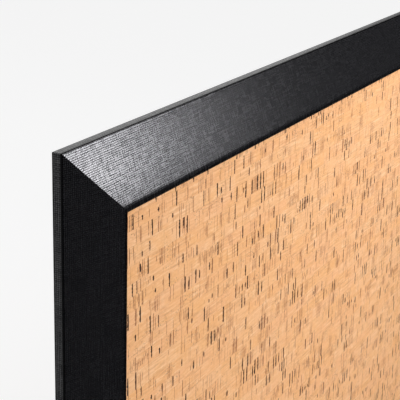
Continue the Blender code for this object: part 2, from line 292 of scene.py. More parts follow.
def add_piece(name, points, groups, uv=None, sharp=40):
    """A new mesh piece, shaded smooth except at edges sharper than the angle given in degrees."""
    mesh = bpy.data.meshes.new(name)
    mesh.from_pydata(points.tolist(), [], [face for group in groups for face in group.tolist()])
    if uv is not None:
        corners = np.empty(len(mesh.loops), np.int32)
        mesh.loops.foreach_get("vertex_index", corners)
        layer = mesh.uv_layers.new(name="run")
        layer.data.foreach_set("uv", uv[corners].astype(np.float32).ravel())
    mesh.validate()
    mesh.shade_smooth()
    mesh.set_sharp_from_angle(angle=math.radians(sharp))
    return new_object(name, mesh)


def give_material(piece, material):
    """The material goes on a new piece, or on the CAD node of that name."""
    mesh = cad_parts[piece].data if isinstance(piece, str) else piece.data
    mesh.materials.clear()
    mesh.materials.append(material)


def offset_path(corners, distance):
    """The path moved to its left by distance: each corner goes along the mean of its two normals."""
    run = np.diff(corners, axis=0)
    normal = np.stack([-run[:, 1], run[:, 0]], axis=1) / np.linalg.norm(run, axis=1)[:, None]
    before = np.vstack([normal[:1], normal])
    after = np.vstack([normal, normal[-1:]])
    spread = 1 + np.einsum("ij,ij->i", before, after)
    return corners + distance * (before + after) / spread[:, None]


def round_path(corners, radii, steps):
    """The path with each inner corner swapped for an arc of its radius, tangent to both sides.

    An arc is centred on the corner's bisector, radius / cos(turn / 2) from it, and turns from one
    side's normal to the next's.
    """
    run = np.diff(corners, axis=0)
    heading = np.unwrap(np.arctan2(run[:, 1], run[:, 0]))
    turn = np.diff(heading)
    middle = heading[:-1] + turn / 2
    side = np.sign(turn)
    reach = radii / np.cos(turn / 2)
    inward = np.stack([-np.sin(middle), np.cos(middle)], axis=1) * side[:, None]
    centre = corners[1:-1] + inward * reach[:, None]
    angle = heading[:-1, None] + turn[:, None] * np.linspace(0, 1, steps + 1)
    spoke = np.stack([np.sin(angle), -np.cos(angle)], axis=-1) * side[:, None, None]
    arcs = centre[:, None, :] + spoke * radii[:, None, None]
    return np.vstack([corners[:1], arcs.reshape(-1, 2), corners[-1:]])


def side_matrix(rail):
    """Takes (in, up, along) of one side of the frame to the board's own axes."""
    inward = RAILS[rail]
    low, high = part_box(rail)
    outer = Vector((0, high.y, 0))
    axis = 0 if inward.x else 2
    outer[axis] = low[axis] if inward[axis] > 0 else high[axis]
    turn = Matrix((inward, TOWARDS_ROOM, inward.cross(TOWARDS_ROOM))).transposed()
    return Matrix.Translation(outer) @ turn.to_4x4()


def moulding_front(rail):
    """The moulding's front as (in, up) corners, from its outer back corner to the rebate.

    It is the convex outline of the CAD rail's section, which leaves out the rebate and the slots.
    """
    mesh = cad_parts[rail].data
    points = np.empty(len(mesh.vertices) * 3, np.float32)
    mesh.vertices.foreach_get("co", points)
    to_side = np.array(side_matrix(rail).inverted())
    section = points.reshape(-1, 3) @ to_side[:2, :3].T + to_side[:2, 3]
    section = np.unique(np.round(section, 6), axis=0)
    hull = section[convex_hull_2d([Vector(p) for p in section])]
    hull = np.roll(hull, -int(np.abs(hull).sum(axis=1).argmin()), axis=0)
    starts_along_back = hull[1, 0] > 0.01 * MM
    if starts_along_back:
        hull = np.vstack([hull[:1], hull[:0:-1]])
    return hull[:-1]


def wrapped_corners(rail, foil):
    """The corners that the foil goes round, from its turned-in edge on the moulding's back."""
    return np.vstack([[foil.turn_in, 0.0], moulding_front(rail)])


def fold_places(rail, foil):
    """How far from its turned-in edge the foil meets the outer edge's two folds and the crest."""
    run = np.diff(wrapped_corners(rail, foil), axis=0)
    return np.cumsum(np.linalg.norm(run, axis=1))[:3]


def foil_section(rail, foil):
    """The foil as a closed outline, and the distance of each point along it.

    The glued side has sharper folds than the side that shows.
    """
    corners = wrapped_corners(rail, foil)
    radii = np.full(len(corners) - 2, foil.lip_radius)
    radii[:3] = foil.back_radius, foil.front_radius, foil.crest_radius
    outer = round_path(offset_path(corners, foil.lift + foil.thickness), radii, FOLD_STEPS)
    inner = round_path(offset_path(corners, foil.lift), INNER_FOLD_SHARE * radii, FOLD_STEPS)
    step = np.linalg.norm(np.diff(outer, axis=0), axis=1)
    distance = np.concatenate([[0.0], np.cumsum(step)])
    return np.vstack([outer, inner[::-1]]), np.concatenate([distance, distance[::-1]])


def make_foil(rail, foil):
    """The section carried along the rail: along = t * (half length - in), so both ends are mitred."""
    section, distance = foil_section(rail, foil)
    low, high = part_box(rail)
    outer_length = max(high.x - low.x, high.z - low.z) + 2 * math.sqrt(2) * MITRE_HALF_GAP
    t = np.linspace(-1, 1, FOIL_STATIONS)[:, None]
    reach = outer_length / 2 - section[:, 0] - math.sqrt(2) * FOIL_HALF_GAP
    along = t * reach[None, :]
    points = moved(as_points(section[:, 0], section[:, 1], along), side_matrix(rail))
    rows, columns = along.shape
    quads = grid_quads(rows, columns)
    first = np.arange(columns // 2 - 1)
    cap = np.stack([first, first + 1, columns - 2 - first, columns - 1 - first], axis=1)
    groups = facing_out(points, [quads, cap[:, ::-1], cap + (rows - 1) * columns])
    return add_piece(f"{rail}_foil", points, groups, as_points(along, distance), sharp=50)


def tube(name, path, radius, sides, across):
    """A closed loop of round wire: circles of the radius, each square to the path, whose plane has
    the unit vector across as its normal."""
    ahead = np.roll(path, -1, axis=0) - np.roll(path, 1, axis=0)
    ahead /= np.linalg.norm(ahead, axis=1)[:, None]
    outward = np.cross(ahead, across)
    angle = round_angles(sides)
    circle = np.cos(angle)[None, :, None] * outward[:, None, :]
    circle = circle + np.sin(angle)[None, :, None] * np.asarray(across)[None, None, :]
    points = (path[:, None, :] + radius * circle).reshape(-1, 3)
    quads = grid_quads(len(path) + 1, sides) % len(points)
    return add_piece(name, points, facing_out(points, [quads]))


def turned(name, radii, heights, place):
    """A profile of radii and heights spun about Z; its first and last points close it on the axis."""
    angle = round_angles(BUMPER_COLUMNS)
    radius = radii[1:-1, None]
    side = as_points(radius * np.cos(angle), radius * np.sin(angle), heights[1:-1, None])
    poles = np.array([[0, 0, heights[0]], [0, 0, heights[-1]]])
    points = moved(np.vstack([side, poles]), place)
    quads = grid_quads(len(radii) - 2, BUMPER_COLUMNS)
    column = np.arange(BUMPER_COLUMNS)
    beside = (column + 1) % BUMPER_COLUMNS
    last = len(side) - BUMPER_COLUMNS
    pole = np.full(BUMPER_COLUMNS, len(side))
    top = np.stack([pole, beside, column], axis=1)
    bottom = np.stack([pole + 1, last + column, last + beside], axis=1)
    return add_piece(name, points, facing_out(points, [quads, top, bottom]))


# ---------------- shader trees


class Tree:
    """Adds nodes to a shader tree. An input takes a number, vector, colour or output socket."""

    def __init__(self, tree):
        self.nodes = tree.nodes
        self.links = tree.links

    def add(self, kind, inputs=None, **values):
        """A node of the kind, with its inputs fed and its own settings set."""
        node = self.nodes.new("ShaderNode" + kind)
        for name, value in values.items():
            setattr(node, name, value)
        for key, value in (inputs or {}).items():
            self.feed(node.inputs[key], value)
        return node

    def feed(self, socket, value):
        if isinstance(value, NodeSocket):
            self.links.new(value, socket)
        elif socket.type == "RGBA" and len(value) == 3:
            socket.default_value = (*value, 1.0)
        else:
            socket.default_value = value

    def math(self, operation, *values):
        return self.add("Math", dict(enumerate(values)), operation=operation).outputs[0]

    def times(self, first, second):
        return self.math("MULTIPLY", first, second)

    def times_plus(self, first, second, third):
        return self.math("MULTIPLY_ADD", first, second, third)

    def minus(self, first, second):
        return self.math("SUBTRACT", first, second)

    def over(self, first, second):
        return self.math("DIVIDE", first, second)

    def vector(self, operation, *values):
        node = self.add("VectorMath", dict(enumerate(values)), operation=operation)
        return node.outputs["Vector"]

    def scaled(self, vector, factors):
        return self.vector("MULTIPLY", vector, factors)

    def combine(self, x=0.0, y=0.0, z=0.0):
        return self.add("CombineXYZ", {"X": x, "Y": y, "Z": z}).outputs["Vector"]

    def axes(self, vector):
        return self.add("SeparateXYZ", {"Vector": vector}).outputs

    def object_coordinates(self):
        return self.add("TexCoord").outputs["Object"]

    def centred(self, value):
        return self.minus(value, 0.5)

    def dice(self, **key):
        """Random numbers for a key: W alone, or a Vector of two numbers."""
        dimensions = "1D" if "W" in key else "2D"
        return self.add("TexWhiteNoise", key, noise_dimensions=dimensions).outputs

    def ease(self, value, low, high, to_low=0.0, to_high=1.0):
        ends = {"Value": value, "From Min": low, "From Max": high}
        ends.update({"To Min": to_low, "To Max": to_high})
        return self.add("MapRange", ends, interpolation_type="SMOOTHSTEP").outputs["Result"]

    def mix(self, part, first, second):
        """The first colour, with the given part of it swapped for the second."""
        inputs = {0: part, 6: first, 7: second}
        return self.add("Mix", inputs, data_type="RGBA").outputs[2]

    def tinge(self, base, mask, ends, most, tint):
        """The base, tinted by up to most as the mask goes from the first end to the second."""
        return self.mix(self.ease(mask, *ends, 0.0, most), base, tint)

    def noise(self, vector, scale, detail, roughness=0.5, dimensions="3D"):
        inputs = {"Vector": vector, "Scale": scale, "Detail": detail, "Roughness": roughness}
        return self.add("TexNoise", inputs, noise_dimensions=dimensions).outputs["Fac"]

    def emboss(self, looks, height, distance, strength):
        """Shading as if the surface rose by the distance where the height is 1."""
        inputs = {"Height": height, "Distance": distance, "Strength": strength}
        self.feed(looks["Normal"], self.add("Bump", inputs).outputs["Normal"])


def new_group(name, inputs, outputs):
    """A shader node group: its tree, and the sockets inside it for what it is given and puts out."""
    group = bpy.data.node_groups.new(name, "ShaderNodeTree")
    for label, default in inputs.items():
        kind = "NodeSocketVector" if isinstance(default, tuple) else "NodeSocketFloat"
        socket = group.interface.new_socket(label, in_out="INPUT", socket_type=kind)
        socket.default_value = default
    for label in outputs:
        group.interface.new_socket(label, in_out="OUTPUT", socket_type="NodeSocketFloat")
    tree = Tree(group)
    given = tree.nodes.new("NodeGroupInput").outputs
    return tree, given, tree.nodes.new("NodeGroupOutput").inputs


def use_group(tree, name, build, inputs):
    """The outputs of the named group, which is built when it is first used."""
    if name not in bpy.data.node_groups:
        build(name)
    node = tree.nodes.new("ShaderNodeGroup")
    node.node_tree = bpy.data.node_groups[name]
    for key, value in inputs.items():
        tree.feed(node.inputs[key], value)
    return node.outputs


def build_weave(name):
    """Plain weave: a raised spot in each cell, as |sin(u)| * |sin(v)|, with every other spot a little
    higher, as sin(u) * sin(v), on wavy threads whose thickness changes along their length."""
    labels = {"Vector": (0.0, 0.0, 0.0), "Pitch": 0.001, "Waviness": 0.3, "Slub": 0.4}
    tree, given, out = new_group(name, labels, ["Height", "Slub"])
    pitch = given["Pitch"]
    threads = tree.vector("DIVIDE", given["Vector"], tree.combine(pitch, pitch, pitch))
    along = tree.noise(tree.scaled(threads, (0.12, 0.9, 1.0)), 1.0, 1.0)
    down = tree.noise(tree.scaled(threads, (0.9, 0.12, 1.0)), 1.0, 1.0)
    u, v = tree.axes(threads)[:2]
    u = tree.times_plus(tree.centred(down), given["Waviness"], u)
    v = tree.times_plus(tree.centred(along), given["Waviness"], v)
    waves = [tree.math("SINE", tree.times(part, math.pi)) for part in (u, v)]
    over_under = tree.times(*waves)
    spot = tree.math("ABSOLUTE", over_under)
    slub = tree.math("ADD", along, down)
    thick = tree.times_plus(tree.minus(slub, 1.0), given["Slub"], 1.0)
    height = tree.times_plus(over_under, 0.18, spot)
    tree.feed(out["Height"], tree.times(height, thick))
    tree.feed(out["Slub"], tree.times(slub, 0.5))


def build_grain(name):
    """Fine streaks: noise squeezed by the given sizes along each axis, sharpened about its middle."""
    labels = {"Vector": (0.0, 0.0, 0.0), "Size": (0.01, 0.01, 0.01), "Contrast": 1.0}
    tree, given, out = new_group(name, labels, ["Value"])
    streaks = tree.noise(tree.vector("DIVIDE", given["Vector"], given["Size"]), 1.0, 3.0, 0.6)
    sharpened = tree.times_plus(tree.centred(streaks), given["Contrast"], 0.5)
    tree.feed(out["Value"], sharpened)


def build_scuffs(name):
    """Hairline scratches in two directions, broken up by a broad noise."""
    labels = {"Vector": (0.0, 0.0, 0.0), "Spacing": 0.002, "Amount": 0.5}
    tree, given, out = new_group(name, labels, ["Mask"])
    spacing = given["Spacing"]
    scaled = tree.vector("DIVIDE", given["Vector"], tree.combine(spacing, spacing, spacing))
    hairs = []
    for angle, thinness in ((0.5, 2.5), (-0.9, 3.5)):
        lean = tree.add("VectorRotate", {"Vector": scaled, "Angle": angle}, rotation_type="Y_AXIS")
        stretched = tree.scaled(lean.outputs["Vector"], (0.08, 1.0, thinness))
        hairs.append(tree.ease(tree.noise(stretched, 1.0, 2.0), 0.62, 0.72))
    patches = tree.ease(tree.noise(scaled, 0.15, 2.0), 0.45, 0.65)
    both = tree.times(tree.math("MAXIMUM", *hairs), patches)
    tree.feed(out["Mask"], tree.times(both, given["Amount"]))


def build_slits(name):
    """Slits that cross a strip, one at most in each place along it.

    A place is a spacing long. Its random numbers decide whether it holds a slit, more often where
    a broad noise is high, and the slit's middle, length, lean and width. The slit is where the
    distance from its own line is under its half width, which tapers as 1 - t * t to its ends.
    """
    labels = {"Run": 0.0, "Row": 0.0, "Across": 0.5, "Spacing": 0.003, "Width": 0.0004}
    labels.update({"Chance": 0.1, "Cluster": 0.02, "Clustering": 0.5, "Wobble": 0.0003})
    tree, given, out = new_group(name, labels, ["Mask", "Shade"])
    run, row, across = given["Run"], given["Row"], given["Across"]
    placed = tree.over(run, given["Spacing"])
    placed = tree.times_plus(tree.dice(W=row)["Value"], 31.0, placed)
    place = tree.math("FLOOR", placed)
    random = tree.dice(Vector=tree.combine(place, row))
    luck, middle, size = tree.axes(random["Color"])[:3]
    shade = random["Value"]

    place_run = tree.over(tree.times(place, given["Spacing"]), given["Cluster"])
    crowd_at = tree.combine(place_run, tree.times(row, 3.7))
    crowd = tree.noise(crowd_at, 1.0, 1.0, dimensions="2D")
    crowd = tree.times(tree.ease(crowd, 0.48, 0.72), given["Clustering"])
    chance = tree.math("ADD", given["Chance"], crowd)
    present = tree.math("LESS_THAN", luck, chance)

    # Along the slit: -1 to 1 from end to end, as shares of the strip's height.
    half_height = tree.ease(size, 0.0, 0.8, 0.16, 0.72)
    centre = tree.times_plus(tree.centred(middle), 0.5, 0.5)
    along = tree.over(tree.minus(across, centre), half_height)

    # Beside the slit: from its leaning, jagged line, first in places and then in metres.
    shape_at = tree.combine(tree.times(run, 90.0), across, row)
    jagged = tree.noise(tree.scaled(shape_at, (1.0, 7.0, 1.0)), 1.0, 2.0)
    lean = tree.times(tree.minus(shade, 0.42), 0.26)
    lean = tree.times(tree.minus(0.5, across), lean)
    offset = tree.centred(tree.math("FRACT", placed))
    offset = tree.times_plus(tree.centred(size), 0.3, offset)
    offset = tree.times(tree.math("ADD", offset, lean), given["Spacing"])
    offset = tree.times_plus(tree.centred(jagged), given["Wobble"], offset)

    # The half width: widest in the middle, and less for a shallow slit.
    taper = tree.minus(1.0, tree.times(along, along))
    uneven = tree.ease(jagged, 0.3, 0.7, 0.15, 0.70)
    swell = tree.times_plus(tree.math("MAXIMUM", taper, 0.0), 0.45, uneven)
    shallowness = tree.over(luck, chance)
    half_width = tree.times(swell, tree.ease(shade, 0.0, 1.0, 0.28, 1.1))
    half_width = tree.times(half_width, tree.ease(shallowness, 0.2, 0.9, 1.1, 0.5))
    half_width = tree.times(half_width, given["Width"])
    beside = tree.over(tree.math("ABSOLUTE", offset), half_width)
    inside = tree.times(tree.ease(beside, 1.15, 0.65), tree.ease(taper, 0.0, 0.2))
    tree.feed(out["Mask"], tree.times(inside, present))
    tree.feed(out["Shade"], shallowness)


def weave_on(tree, vector, pitch, waviness, slub):
    inputs = {"Vector": vector, "Pitch": pitch, "Waviness": waviness, "Slub": slub}
    return use_group(tree, "weave", build_weave, inputs)


def grain_on(tree, vector, size, contrast):
    inputs = {"Vector": vector, "Size": size, "Contrast": contrast}
    return use_group(tree, "grain", build_grain, inputs)["Value"]


def scuffs_on(tree, vector, spacing, amount):
    inputs = {"Vector": vector, "Spacing": spacing, "Amount": amount}
    return use_group(tree, "scuffs", build_scuffs, inputs)["Mask"]


def new_material(name, roughness, metallic=0.0, specular=0.5):
    """A material, its shader tree and the sockets of its Principled shader."""
    material = bpy.data.materials.new(name)
    material.use_nodes = True
    looks = material.node_tree.nodes["Principled BSDF"].inputs
    looks["Roughness"].default_value = roughness
    looks["Metallic"].default_value = metallic
    looks["Specular IOR Level"].default_value = specular
    return material, Tree(material.node_tree), looks


def shade_of(tint, factor):
    return tuple(factor * part for part in tint)


# ---------------- materials


def linen_foil(foil):
    """Black foil with an embossed linen weave that runs with the moulding.

    The coat is the gloss of the threads. Along the two folds of the outer edge and over the crest
    onto the lip, the coat and the threads' paleness are taken away: painted shade for those dark
    edges.
    """
    material, tree, looks = new_material("linen_foil", foil.roughness, specular=0.1)
    run = tree.add("UVMap", uv_map="run").outputs["UV"]
    weave = weave_on(tree, run, foil.thread, waviness=0.12, slub=0.5)
    grain = grain_on(tree, run, size=(20 * MM, 0.9 * MM, 1.0), contrast=1.0)
    worn = scuffs_on(tree, run, spacing=4 * MM, amount=0.25)

    round_section = tree.axes(run)[1]
    # Painted shade: over the crest onto the lip and along the two folds of the outer edge, the coat
    # goes and the threads' paleness drops to a quarter.
    back_fold, front_fold, crest = fold_places("top_rail", foil)
    free_of_painted_shade = tree.ease(round_section, crest - 0.5 * MM, crest + 2.5 * MM, 1.0, 0.04)
    for fold in (back_fold, front_fold):
        beside = tree.math("ABSOLUTE", tree.minus(round_section, fold))
        clear = tree.ease(beside, 0.5 * foil.shade_line, 1.5 * foil.shade_line)
        free_of_painted_shade = tree.times(free_of_painted_shade, clear)

    raised = tree.ease(weave["Height"], 0.1, 0.8)
    painted_weave_light = tree.times(raised, tree.ease(grain, 0.2, 0.8, 0.7, 1.3))
    # Painted light and shade of the weave: raised threads go up to 6.5 times the foil colour, hollows
    # down to a tenth of it.
    painted_weave_light = tree.times(painted_weave_light, tree.ease(free_of_painted_shade, 0.0, 1.0, 0.25, 1.0))
    painted_hollow_shade, painted_thread_sheen = shade_of(foil.tint, 0.1), shade_of(foil.tint, 6.5)
    tree.feed(looks["Base Color"], tree.mix(painted_weave_light, painted_hollow_shade, painted_thread_sheen))
    uneven = tree.centred(weave["Slub"])
    gloss = tree.times_plus(uneven, 2.4, tree.times(raised, 1.1))
    gloss = tree.times(tree.ease(gloss, 0.0, 1.0), free_of_painted_shade)
    tree.feed(looks["Coat Weight"], gloss)
    tree.feed(looks["Coat Roughness"], foil.roughness)
    tree.feed(looks["Coat IOR"], 1.75)
    rough = tree.times_plus(uneven, 0.3, foil.roughness)
    rough = tree.times_plus(worn, 0.2, rough)
    tree.feed(looks["Roughness"], rough)
    tree.emboss(looks, weave["Height"], foil.emboss, 0.7)
    return material


def laminated_cork(cork):
    """Cork cut into strips and glued back edge to edge.

    A strip's number is the floor of height / strip; a block's is the floor of its own shifted
    run / block. Each block gets random numbers from its two numbers, which set its tint and move
    its pattern. Slits are placed strip by strip, so that they end where the strip was sawn.
    """
    material, tree, looks = new_material("laminated_cork", 0.88, specular=0.25)
    place = tree.object_coordinates()
    x, _, z = tree.axes(place)[:3]
    pale, peach, tan, bark = cork.pale, cork.peach, cork.tan, cork.bark

    def pattern(name, where, detail, roughness=0.5):
        return tree.noise(tree.scaled(where, CORK_PATTERNS[name]), 1.0, detail, roughness)

    drift = pattern("strip drift", place, 1.0)
    rows = tree.times_plus(drift, 1.2, tree.over(z, cork.strip))
    row = tree.math("FLOOR", rows)
    across = tree.math("FRACT", rows)
    row_random = tree.dice(W=row)["Value"]
    columns = tree.times_plus(row_random, 17.0, tree.over(x, cork.block))
    columns = tree.times(columns, tree.ease(row_random, 0.0, 1.0, 0.8, 1.5))
    random = tree.dice(Vector=tree.combine(row, tree.math("FLOOR", columns)))
    here = tree.vector("ADD", place, tree.scaled(random["Color"], (9.0, 0.0, 7.0)))

    ramp = tree.add("ValToRGB", {"Fac": random["Value"]})
    stops = ((0.0, pale), (0.25, peach), (0.5, pale), (0.75, tan), (1.0, peach))
    while len(ramp.color_ramp.elements) < len(stops):
        ramp.color_ramp.elements.new(0.5)
    for element, (position, tint) in zip(ramp.color_ramp.elements, stops):
        element.position = position
        element.color = (*tint, 1.0)
    base = tree.mix(0.5, ramp.outputs["Color"], peach)
    base = tree.tinge(base, pattern("blotches", here, 3.0, 0.55), (0.42, 0.7), 0.55, tan)
    flecks = pattern("flecks", here, 2.0)
    base = tree.tinge(base, flecks, (0.55, 0.75), 0.35, cork.bright_fleck)
    base = tree.tinge(base, flecks, (0.45, 0.28), 0.25, cork.dull_fleck)

    wave = pattern("waves", place, 2.0)
    bent = tree.combine(x, 0.0, tree.times_plus(wave, 4 * MM, z))
    layers = grain_on(tree, bent, size=(20 * MM, 1.0, 1.1 * MM), contrast=2.4)
    shown = tree.ease(pattern("layer patches", here, 1.0), 0.35, 0.65, 0.35, 1.0)
    darker = tree.times(tree.ease(layers, 0.45, 0.95, 0.0, 0.50), shown)
    base = tree.mix(darker, base, shade_of(peach, 0.55))
    lighter = tree.times(tree.ease(layers, 0.5, 0.1, 0.0, 0.38), shown)
    base = tree.mix(lighter, base, cork.pale_layer)

    mottle = pattern("mottle", here, 2.0, 0.65)
    base = tree.tinge(base, mottle, (0.5, 0.75), 0.42, cork.dark_mottle)
    base = tree.tinge(base, mottle, (0.5, 0.25), 0.30, cork.pale_mottle)

    speckles = tree.ease(pattern("speckles", here, 2.0, 0.6), 0.54, 0.66)
    speckled = tree.ease(pattern("speckle patches", here, 2.0), 0.52, 0.66)
    pore = tree.times(speckles, speckled)
    base = tree.mix(tree.times(pore, 0.8), base, cork.speckle)

    strip_run = {"Run": x, "Row": row, "Across": across}
    inputs = {**strip_run, "Spacing": cork.line_spacing, "Width": cork.line_width}
    inputs.update({"Chance": 0.16, "Cluster": 11 * MM, "Clustering": 0.85, "Wobble": 0.6 * MM})
    line = use_group(tree, "slits", build_slits, inputs)
    line_mask = tree.times(line["Mask"], tree.ease(line["Shade"], 1.0, 0.2, 0.6, 1.0))
    base = tree.mix(line_mask, base, bark)

    inputs = {**strip_run, "Spacing": cork.slit_spacing, "Width": cork.slit_width}
    inputs.update({"Chance": 0.15, "Cluster": 26 * MM, "Clustering": 0.42, "Wobble": 0.9 * MM})
    slit = use_group(tree, "slits", build_slits, inputs)
    deep = tree.ease(slit["Shade"], 0.9, 0.5)
    slit_mask = tree.times(slit["Mask"], tree.ease(deep, 0.0, 1.0, 0.78, 0.97))
    base = tree.mix(slit_mask, base, tree.mix(deep, bark, cork.pit))

    seam = tree.ease(tree.math("ABSOLUTE", tree.centred(across)), 0.475, 0.498)
    base = tree.mix(tree.times(seam, 0.16), base, bark)

    tree.feed(looks["Base Color"], base)
    dips = tree.math("MAXIMUM", slit["Mask"], tree.times(line["Mask"], 0.4))
    dips = tree.math("MAXIMUM", dips, tree.times(pore, 0.4))
    height = tree.times_plus(dips, -1.0, tree.times(layers, 0.12))
    tree.emboss(looks, height, 0.35 * MM, 0.8)
    return material


def inked_mitres(tree, place, base, ink):
    """The sawn mitre faces blackened, as framers do so that no pale line shows between the foils.

    The distance from a mitre's plane is the difference of the distances from the two outer edges,
    over the square root of two.
    """
    high = CAD_BOX[1]
    x, _, z = tree.axes(place)[:3]
    beside = tree.minus(high[0], tree.math("ABSOLUTE", x))
    below = tree.minus(high[2], tree.math("ABSOLUTE", z))
    gap = tree.math("ABSOLUTE", tree.minus(beside, below))
    inked = tree.ease(tree.over(gap, math.sqrt(2)), 0.4 * MM, 0.2 * MM)
    return tree.mix(inked, base, ink)


def bare_fibreboard(back):
    """Sawn medium-density fibreboard: short pale and dark fibres on a warm ground."""
    material, tree, looks = new_material("bare_fibreboard", 0.82, specular=0.2)
    place = tree.object_coordinates()
    fibres = grain_on(tree, place, size=(1.2 * MM, 1.2 * MM, 0.5 * MM), contrast=2.2)
    clouds = tree.noise(place, 60.0, 3.0)
    ground = back.fibreboard
    base = tree.mix(tree.ease(fibres, 0.2, 0.8), shade_of(ground, 0.62), ground)
    base = tree.tinge(base, clouds, (0.4, 0.7), 0.25, shade_of(ground, 0.7))
    tree.feed(looks["Base Color"], inked_mitres(tree, place, base, back.ink))
    tree.emboss(looks, fibres, 0.08 * MM, 0.5)
    return material


def softboard(back):
    """Loose wood-fibre board."""
    material, tree, looks = new_material("softboard", 0.95, specular=0.1)
    place = tree.object_coordinates()
    fibres = grain_on(tree, place, size=(4 * MM, 2 * MM, 1.5 * MM), contrast=2.5)
    ground = back.softboard
    base = tree.mix(tree.ease(fibres, 0.2, 0.8), shade_of(ground, 0.5), ground)
    tree.feed(looks["Base Color"], base)
    tree.emboss(looks, fibres, 0.4 * MM, 0.8)
    return material


def hardboard(back):
    """The screen-marked back of hardboard: brown fibres with a pressed mesh."""
    material, tree, looks = new_material("hardboard", 0.7, specular=0.3)
    place = tree.object_coordinates()
    x, _, z = tree.axes(place)[:3]
    mesh = weave_on(tree, tree.combine(x, z), back.screen, waviness=0.2, slub=0.3)["Height"]
    fibres = grain_on(tree, place, size=(3 * MM, 3 * MM, 1.2 * MM), contrast=2.4)
    clouds = tree.noise(place, 14.0, 4.0, 0.6)
    ground = back.hardboard
    base = tree.mix(tree.ease(fibres, 0.15, 0.85), shade_of(ground, 0.55), ground)
    base = tree.tinge(base, clouds, (0.35, 0.7), 0.5, shade_of(ground, 1.5))
    base = tree.tinge(base, mesh, (0.9, 0.2), 0.35, shade_of(ground, 0.4))
    tree.feed(looks["Base Color"], base)
    height = tree.times_plus(fibres, 0.5, mesh)
    tree.emboss(looks, height, 0.12 * MM, 0.7)
    return material


def plated_steel(name, tint, spacing):
    """Bright or zinc-plated steel: faint crystal patches and hairline scratches."""
    material, tree, looks = new_material(name, 0.3, metallic=1.0)
    place = tree.object_coordinates()
    crystals = tree.add("TexVoronoi", {"Vector": place, "Scale": 900.0}).outputs["Color"]
    worn = scuffs_on(tree, place, spacing, amount=1.0)
    crystal = tree.axes(crystals)[0]
    base = tree.mix(tree.times(crystal, 0.35), tint, shade_of(tint, 0.72))
    base = tree.mix(tree.times(worn, 0.5), base, shade_of(tint, 0.5))
    tree.feed(looks["Base Color"], base)
    rough = tree.times_plus(crystal, 0.14, 0.22)
    tree.feed(looks["Roughness"], tree.times_plus(worn, 0.25, rough))
    tree.emboss(looks, worn, 0.02 * MM, 0.5)
    return material


def moulded_rubber(fittings):
    """Matte rubber with a fine moulded grain and a trace of dust."""
    material, tree, looks = new_material("moulded_rubber", 0.75, specular=0.35)
    place = tree.object_coordinates()
    grain = grain_on(tree, place, size=(0.4 * MM, 0.4 * MM, 0.4 * MM), contrast=1.6)
    dust = tree.noise(place, 300.0, 3.0)
    base = tree.tinge(fittings.rubber, dust, (0.55, 0.75), 0.2, fittings.dust)
    tree.feed(looks["Base Color"], base)
    tree.feed(looks["Roughness"], tree.times_plus(grain, 0.2, 0.62))
    tree.emboss(looks, grain, 0.05 * MM, 0.5)
    return material


# ---------------- operators


class CORK_BOARD_OT_wrap_mouldings(Operator):
    """Wrap the four mouldings in linen-embossed foil and finish their bare backs"""

    bl_idname = "cork_board.wrap_mouldings"
    bl_label = "Wrap Mouldings"

    def execute(self, context):
        foil = settings().foil
        material = linen_foil(foil)
        bare = bare_fibreboard(settings().back)
        for rail in RAILS:
            give_material(rail, bare)
            wrap = make_foil(rail, foil)
            give_material(wrap, material)
            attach(wrap, BODY)
        return {"FINISHED"}


class CORK_BOARD_OT_finish_cork(Operator):
    """Give the cork face its laminated strips and dark slits"""

    bl_idname = "cork_board.finish_cork"
    bl_label = "Finish Cork"

    def execute(self, context):
        give_material("cork_sheet", laminated_cork(settings().cork))
        return {"FINISHED"}


class CORK_BOARD_OT_finish_back(Operator):
    """Give the softboard core and the hardboard back their fibres"""

    bl_idname = "cork_board.finish_back"
    bl_label = "Finish Back"

    def execute(self, context):
        back = settings().back
        give_material("softboard_core", softboard(back))
        give_material("backing_panel", hardboard(back))
        return {"FINISHED"}


class CORK_BOARD_OT_finish_joinery(Operator):
    """Give the V-nails and framer's points their steel"""

    bl_idname = "cork_board.finish_joinery"
    bl_label = "Finish Joinery"

    def execute(self, context):
        steel = plated_steel("bright_steel", settings().fittings.steel, 1.5 * MM)
        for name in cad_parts:
            if name.startswith(("v_nail", "point")):
                give_material(name, steel)
        return {"FINISHED"}


def ring_path(low, high, wire, corner):
    """The centreline of a D: a straight bar on top, a quarter bend at each end, straight sides and
    a half-round bow, all in the plane of its box's middle."""
    half = (high.x - low.x) / 2 - wire
    top = high.z - wire
    bow_centre = low.z + wire + half
    middle_x, middle_y = (low.x + high.x) / 2, (low.y + high.y) / 2
    bend = np.linspace(math.pi / 2, 0, RING_BEND_POINTS)
    bow = np.linspace(0, -math.pi, RING_BOW_POINTS)
    x = [half - corner + corner * np.cos(bend), half * np.cos(bow)]
    z = [top - corner + corner * np.sin(bend), bow_centre + half * np.sin(bow)]
    x.append(-x[0][::-1])
    z.append(z[0][::-1])
    x, z = np.concatenate(x) + middle_x, np.concatenate(z)
    return as_points(x, middle_y, z)


class CORK_BOARD_OT_make_hangers(Operator):
    """Make the two D-rings and finish their straps and screws"""

    bl_idname = "cork_board.make_hangers"
    bl_label = "Make Hangers"

    def execute(self, context):
        fittings = settings().fittings
        zinc = plated_steel("zinc_plated_steel", fittings.zinc, 1.2 * MM)
        for side in SIDES:
            node = f"{side}_hanger_ring"
            low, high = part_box(node)
            wire = (high.y - low.y) / 2
            path = ring_path(low, high, wire, fittings.ring_corner)
            ring = tube(f"{side}_d_ring", path, wire, fittings.wire_sides, (0.0, 1.0, 0.0))
            give_material(ring, zinc)
            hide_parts(node)
            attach(ring, f"{side}_ring")
            for part in ("strap", "screw"):
                give_material(f"{side}_hanger_{part}", zinc)
        return {"FINISHED"}


